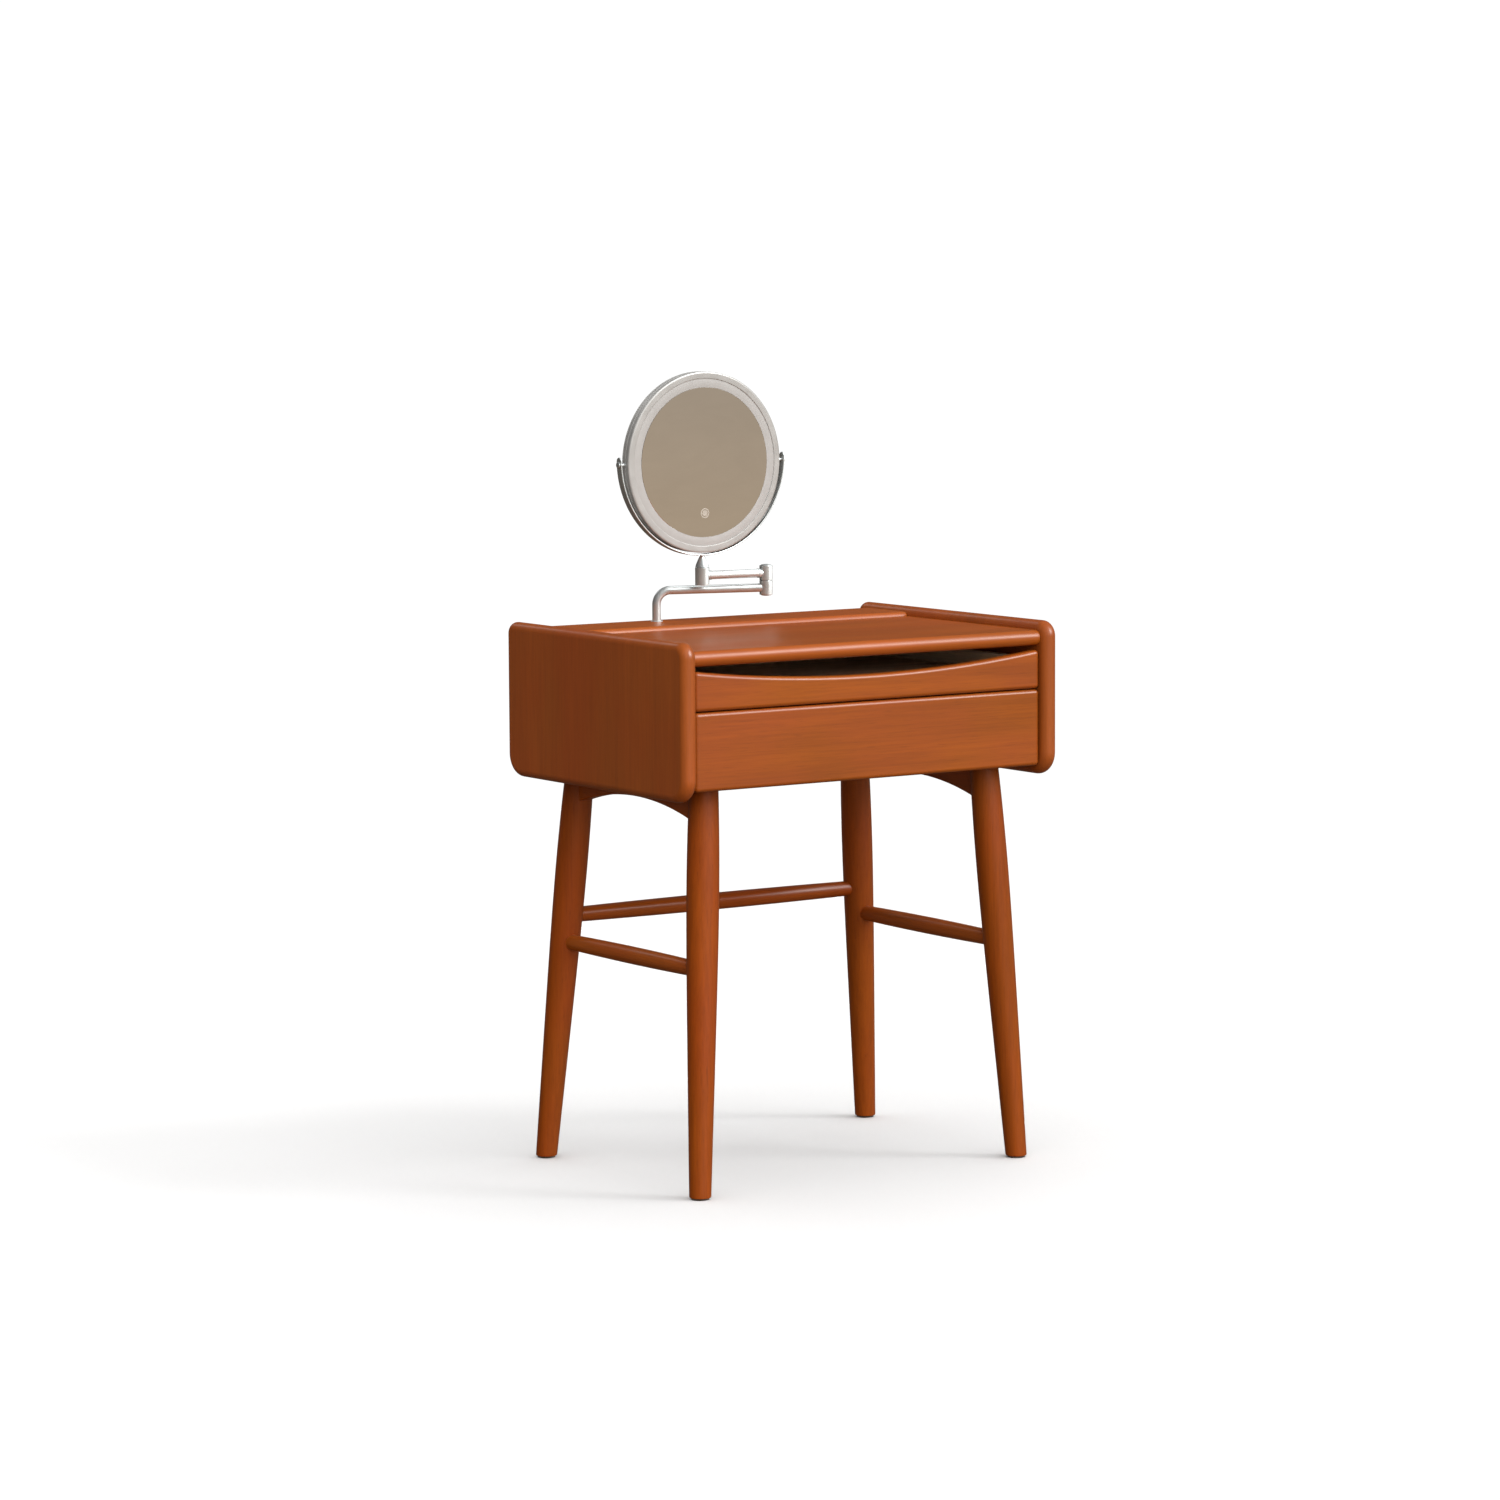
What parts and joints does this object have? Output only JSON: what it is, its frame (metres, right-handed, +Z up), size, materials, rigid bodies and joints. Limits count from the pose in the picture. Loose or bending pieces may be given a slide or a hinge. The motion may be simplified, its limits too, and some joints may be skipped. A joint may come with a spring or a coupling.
{
  "type": "vanity table with mirror",
  "caption": "Wooden vanity table with rounded side panels, stacked drawers under a curved finger scoop, splayed turned legs, and a round lighted mirror on a folding arm.",
  "frame": {"origin": "on the floor under the middle of the case", "axes": "+X to the right seen from the front, +Y to the back, +Z up; the drawers open towards -Y"},
  "size_m": [0.62, 0.455, 1.0978],
  "materials": {
    "panel_wood": "satin red-brown lacquer",
    "top_wood": "satin red-brown lacquer",
    "front_wood": "satin red-brown lacquer",
    "leg_wood": "satin red-brown lacquer",
    "drawer_wood": "clear matt lacquer",
    "case_board": "matt veneer",
    "slide_steel": "zinc plated",
    "foot_felt": "felt",
    "satin_metal": "satin nickel",
    "bezel_metal": "satin nickel",
    "mirror_silver": "silvered glass",
    "light_diffuser": "frosted",
    "circuit_board": "matt white solder mask",
    "battery_wrap": "shrink wrap",
    "port_plastic": "moulded"
  },
  "bodies": {
    "table": {"left_side_panel": "panel_wood", "right_side_panel": "panel_wood", "table_top": "top_wood", "rear_ledge": "top_wood", "back_panel": "case_board", "bottom_panel": "case_board", "divider_panel": "case_board", "upper_left_case_slide": "slide_steel", "upper_right_case_slide": "slide_steel", "lower_left_case_slide": "slide_steel", "lower_right_case_slide": "slide_steel", "front_left_leg": "leg_wood", "front_right_leg": "leg_wood", "rear_left_leg": "leg_wood", "rear_right_leg": "leg_wood", "front_left_foot_pad": "foot_felt", "front_right_foot_pad": "foot_felt", "rear_left_foot_pad": "foot_felt", "rear_right_foot_pad": "foot_felt", "left_side_stretcher": "leg_wood", "right_side_stretcher": "leg_wood", "rear_stretcher": "leg_wood", "left_apron": "leg_wood", "right_apron": "leg_wood", "post_bush": "satin_metal"},
    "upper_drawer": {"upper_drawer_front": "front_wood", "upper_drawer_left_side": "drawer_wood", "upper_drawer_right_side": "drawer_wood", "upper_drawer_back": "drawer_wood", "upper_drawer_floor": "drawer_wood", "upper_left_drawer_slide": "slide_steel", "upper_right_drawer_slide": "slide_steel"},
    "lower_drawer": {"lower_drawer_front": "front_wood", "lower_drawer_left_side": "drawer_wood", "lower_drawer_right_side": "drawer_wood", "lower_drawer_back": "drawer_wood", "lower_drawer_floor": "drawer_wood", "lower_left_drawer_slide": "slide_steel", "lower_right_drawer_slide": "slide_steel"},
    "lower_arm_body": {"lower_arm": "satin_metal", "lower_elbow_knuckle": "satin_metal", "elbow_pin": "satin_metal", "post_nut": "slide_steel"},
    "upper_arm_body": {"upper_arm": "satin_metal", "upper_elbow_knuckle": "satin_metal", "hub_barrel": "satin_metal"},
    "yoke_body": {"yoke_spindle": "satin_metal", "yoke_band": "satin_metal", "left_pivot_screw": "satin_metal", "right_pivot_screw": "satin_metal"},
    "mirror_body": {"mirror_housing": "bezel_metal", "front_bezel": "bezel_metal", "rear_bezel": "bezel_metal", "front_mirror": "mirror_silver", "rear_mirror": "mirror_silver", "light_diffuser": "light_diffuser", "led_board": "circuit_board", "touch_sensor": "circuit_board", "battery": "battery_wrap", "charging_port": "port_plastic"}
  },
  "joints": [
    {"name": "upper_drawer_slide", "type": "slide", "parent": "table", "child": "upper_drawer", "axis": [0, -1, 0], "range_m": [0, 0.25]},
    {"name": "lower_drawer_slide", "type": "slide", "parent": "table", "child": "lower_drawer", "axis": [0, -1, 0], "range_m": [0, 0.25]},
    {"name": "post_swivel", "type": "hinge", "parent": "table", "child": "lower_arm_body", "pos_m": [-0.094, 0.174, 0.747], "axis": [0, 0, 1], "range_deg": [-160, 160]},
    {"name": "elbow_hinge", "type": "hinge", "parent": "lower_arm_body", "child": "upper_arm_body", "pos_m": [0.061, 0.128, 0.8011], "axis": [0, 0, 1], "range_deg": [-160, 160]},
    {"name": "hub_swivel", "type": "hinge", "parent": "upper_arm_body", "child": "yoke_body", "pos_m": [-0.039, 0.14, 0.8228], "axis": [0, 0, 1], "range_deg": [-170, 170]},
    {"name": "mirror_tilt", "type": "hinge", "parent": "yoke_body", "child": "mirror_body", "pos_m": [-0.039, 0.14, 0.9708], "axis": [1, 0, 0], "continuous": true}
  ]
}
